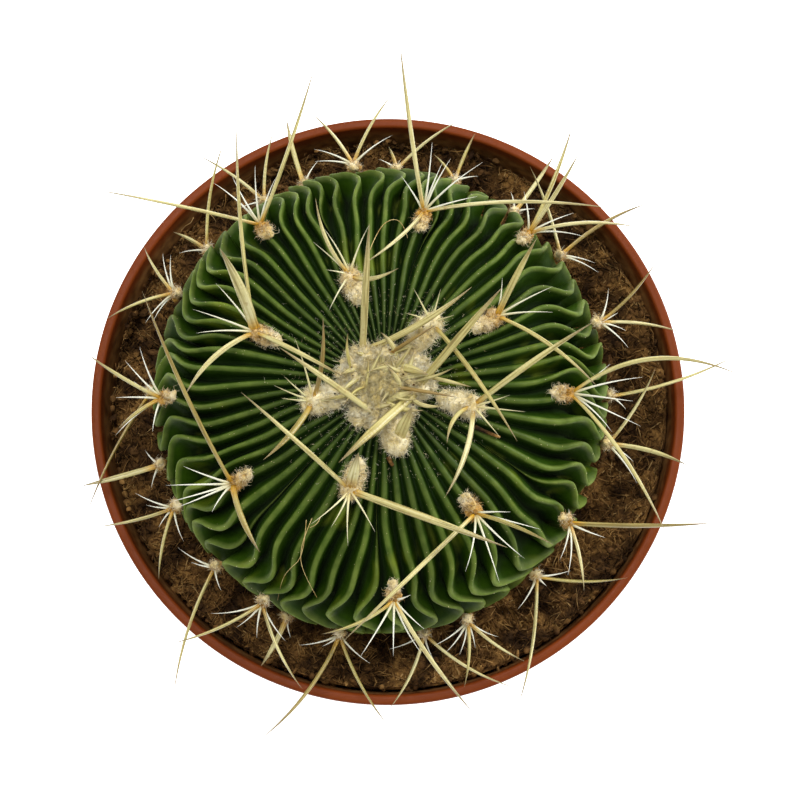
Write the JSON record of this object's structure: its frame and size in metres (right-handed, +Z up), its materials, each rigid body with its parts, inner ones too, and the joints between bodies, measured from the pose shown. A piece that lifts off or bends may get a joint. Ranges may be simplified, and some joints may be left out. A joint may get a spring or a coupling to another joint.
{
  "type": "potted round cactus",
  "caption": "Flattened globe cactus with many thin wavy ribs and long straw-coloured spines, in a round plastic nursery pot with a collar under its rim.",
  "frame": {"origin": "middle of the pot's flat underside, on the surface that the pot stands on", "axes": "+Z up along the pot's axis, +Y towards the top edge of the picture, +X to its right"},
  "size_m": [0.0919, 0.0926, 0.0962],
  "materials": {
    "pot_plastic": "satin terracotta-coloured plastic",
    "coir": "coarse brown fibre, matte",
    "cactus_skin": "waxy green skin, satin",
    "wool": "short cream wool, matte",
    "spines": "smooth straw-coloured spine, satin"
  },
  "bodies": {
    "root": {"pot": "pot_plastic", "soil": "coir", "cactus_body": "cactus_skin", "crown": "wool", "areole_01": "spines", "areole_02": "spines", "areole_03": "spines", "areole_04": "spines", "areole_05": "spines", "areole_06": "spines", "areole_07": "spines", "areole_08": "spines", "areole_09": "spines", "areole_10": "spines", "areole_11": "spines", "areole_12": "spines", "areole_13": "spines", "areole_14": "spines", "areole_15": "spines", "areole_16": "spines", "areole_17": "spines", "areole_18": "spines", "areole_19": "spines", "areole_20": "spines", "areole_21": "spines", "areole_22": "spines", "areole_23": "spines", "areole_24": "spines", "areole_25": "spines", "areole_26": "spines", "areole_27": "spines", "areole_28": "spines", "areole_29": "spines", "areole_30": "spines", "areole_31": "spines", "areole_32": "spines", "areole_33": "spines", "areole_34": "spines", "areole_35": "spines", "areole_36": "spines", "areole_37": "spines", "areole_38": "spines"}
  },
  "joints": []
}
